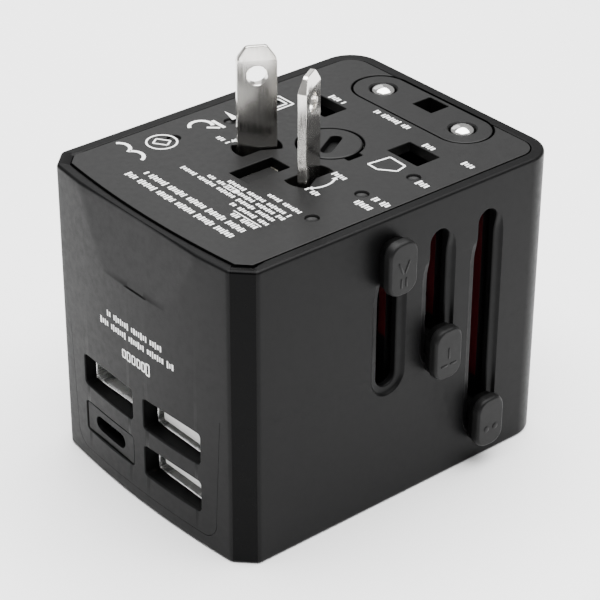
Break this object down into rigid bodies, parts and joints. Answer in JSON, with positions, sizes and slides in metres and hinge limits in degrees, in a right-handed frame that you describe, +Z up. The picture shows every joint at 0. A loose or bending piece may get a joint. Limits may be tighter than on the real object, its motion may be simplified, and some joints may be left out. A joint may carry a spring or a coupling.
{
  "type": "universal travel adapter",
  "caption": "Block-shaped travel adapter with folding blades, sliding pin sets, a universal socket, a fuse and USB ports.",
  "frame": {"origin": "centre of the socket face, which the adapter stands on", "axes": "+Z up through the pin face, +X out through the slider side, -Y out through the USB side"},
  "size_m": [0.0521, 0.0653, 0.0694],
  "materials": {
    "housing_black": "fine moulded texture",
    "plate_black": "fine spark-eroded texture",
    "knob_black": "satin",
    "inner_black": "plain moulded",
    "guide_red": "moulded",
    "nickel_plate": "bright nickel over brass",
    "brass_strip": "rolled",
    "hub_plastic": "natural nylon",
    "sleeve_black": "smooth",
    "fuse_glass": "clear",
    "steel_bright": "bright rolled",
    "shutter_white": "natural nylon",
    "spring_steel": "drawn wire",
    "board_green": "solder mask",
    "port_white": "smooth",
    "port_black": "smooth",
    "tape_yellow": "tape",
    "ferrite": "sintered",
    "capacitor_blue": "shrink sleeve"
  },
  "bodies": {
    "housing": {"lower_housing": "housing_black", "upper_housing": "housing_black", "pin_face_plate": "plate_black", "insulating_partition": "inner_black", "guide_frame": "guide_red", "fuse_tube": "fuse_glass", "fuse_end_caps": "nickel_plate", "fuse_clip": "inner_black", "live_busbar": "brass_strip", "neutral_busbar": "brass_strip", "live_contact": "brass_strip", "neutral_contact": "brass_strip", "shutter_spring": "spring_steel", "usb_circuit_board": "board_green", "usb_a_port_1": "steel_bright", "usb_a_port_2": "steel_bright", "usb_a_port_3": "steel_bright", "usb_a_insert_1": "port_white", "usb_a_insert_2": "port_white", "usb_a_insert_3": "port_white", "usb_c_port": "steel_bright", "usb_c_insert": "port_black", "usb_c_bezel": "port_black", "transformer": "tape_yellow", "transformer_core": "ferrite", "capacitors": "capacitor_blue", "housing_screws": "steel_bright"},
    "aus_us_slider": {"aus_us_knob": "knob_black", "aus_us_carrier": "inner_black"},
    "left_blade_unit": {"left_blade": "nickel_plate", "left_blade_hub": "hub_plastic"},
    "right_blade_unit": {"right_blade": "nickel_plate", "right_blade_hub": "hub_plastic"},
    "uk_slider": {"uk_knob": "knob_black", "uk_carrier": "inner_black", "uk_live_pin": "nickel_plate", "uk_neutral_pin": "nickel_plate", "uk_earth_pin": "sleeve_black", "uk_pin_sleeves": "sleeve_black"},
    "eu_slider": {"eu_knob": "knob_black", "eu_carrier": "inner_black", "eu_live_pin": "nickel_plate", "eu_neutral_pin": "nickel_plate"},
    "eu_pin_block": {"eu_block": "plate_black"},
    "fuse_lid": {"fuse_cap": "plate_black"},
    "shutter": {"safety_shutter": "shutter_white"}
  },
  "joints": [
    {"name": "aus_us_slide", "type": "slide", "parent": "housing", "child": "aus_us_slider", "axis": [0, 0, 1], "range_m": [-0.0204, 0]},
    {"name": "left_blade_turn", "type": "hinge", "parent": "aus_us_slider", "child": "left_blade_unit", "pos_m": [-0.00635, -0.0042, 0.045], "axis": [0, 0, 1], "range_deg": [0, 30]},
    {"name": "right_blade_turn", "type": "hinge", "parent": "aus_us_slider", "child": "right_blade_unit", "pos_m": [0.00635, -0.0042, 0.045], "axis": [0, 0, 1], "range_deg": [-30, 0]},
    {"name": "uk_slide", "type": "slide", "parent": "housing", "child": "uk_slider", "axis": [0, 0, 1], "range_m": [0, 0.019]},
    {"name": "eu_slide", "type": "slide", "parent": "housing", "child": "eu_slider", "axis": [0, 0, 1], "range_m": [0, 0.036]},
    {"name": "eu_block_rise", "type": "slide", "parent": "housing", "child": "eu_pin_block", "axis": [0, 0, 1], "range_m": [0, 0.0168]},
    {"name": "fuse_cap_turn", "type": "hinge", "parent": "housing", "child": "fuse_lid", "pos_m": [0, 0.0055, 0.051], "axis": [0, 0, 1], "range_deg": [0, 90]},
    {"name": "shutter_slide", "type": "slide", "parent": "housing", "child": "shutter", "axis": [0, 1, 0], "range_m": [0, 0.0084], "stiffness_N_per_m": 60}
  ],
  "couplings": [
    {"joint": "eu_block_rise", "follows": "eu_slide", "ratio": 0.46667}
  ]
}
